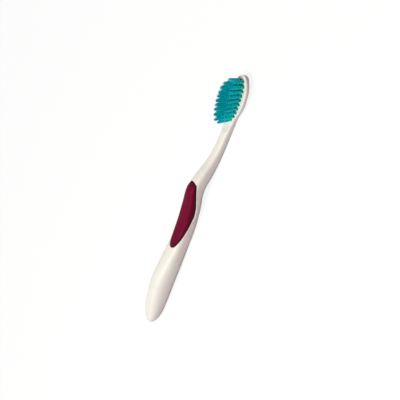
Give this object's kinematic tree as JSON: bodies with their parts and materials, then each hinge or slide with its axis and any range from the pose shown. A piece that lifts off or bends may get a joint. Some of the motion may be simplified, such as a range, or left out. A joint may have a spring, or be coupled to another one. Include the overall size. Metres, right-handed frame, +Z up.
{
  "type": "manual toothbrush",
  "caption": "Manual toothbrush with a curved one-piece handle, an inlaid soft thumb grip, a slim neck and an oval head of anchored bristle tufts.",
  "frame": {"origin": "under the middle of the brush's length and width, on the surface that it lies on", "axes": "+X from the tail of the handle to the toe of the head, +Y across the brush, +Z up, the way the bristles point"},
  "size_m": [0.1824, 0.0148, 0.0172],
  "materials": {
    "handle_plastic": "cream-white injection-moulded polypropylene, smooth with a soft gloss",
    "grip_rubber": "maroon over-moulded thermoplastic elastomer, satin with a fine grain",
    "bristle_nylon": "teal nylon filament, slightly translucent, with a soft gloss",
    "anchor_metal": "rolled brass strip, cut bright edges"
  },
  "bodies": {
    "root": {"handle": "handle_plastic", "thumb_grip": "grip_rubber", "tuft_anchors": "anchor_metal", "tuft_row01_a": "bristle_nylon", "tuft_row01_b": "bristle_nylon", "tuft_row02_a": "bristle_nylon", "tuft_row02_b": "bristle_nylon", "tuft_row02_c": "bristle_nylon", "tuft_row02_d": "bristle_nylon", "tuft_row03_a": "bristle_nylon", "tuft_row03_b": "bristle_nylon", "tuft_row03_c": "bristle_nylon", "tuft_row03_d": "bristle_nylon", "tuft_row04_a": "bristle_nylon", "tuft_row04_b": "bristle_nylon", "tuft_row04_c": "bristle_nylon", "tuft_row04_d": "bristle_nylon", "tuft_row05_a": "bristle_nylon", "tuft_row05_b": "bristle_nylon", "tuft_row05_c": "bristle_nylon", "tuft_row05_d": "bristle_nylon", "tuft_row06_a": "bristle_nylon", "tuft_row06_b": "bristle_nylon", "tuft_row06_c": "bristle_nylon", "tuft_row06_d": "bristle_nylon", "tuft_row07_a": "bristle_nylon", "tuft_row07_b": "bristle_nylon", "tuft_row07_c": "bristle_nylon", "tuft_row07_d": "bristle_nylon", "tuft_row08_a": "bristle_nylon", "tuft_row08_b": "bristle_nylon", "tuft_row08_c": "bristle_nylon", "tuft_row08_d": "bristle_nylon", "tuft_row09_a": "bristle_nylon", "tuft_row09_b": "bristle_nylon", "tuft_row09_c": "bristle_nylon", "tuft_row09_d": "bristle_nylon", "tuft_row10_a": "bristle_nylon", "tuft_row10_b": "bristle_nylon"}
  },
  "joints": []
}
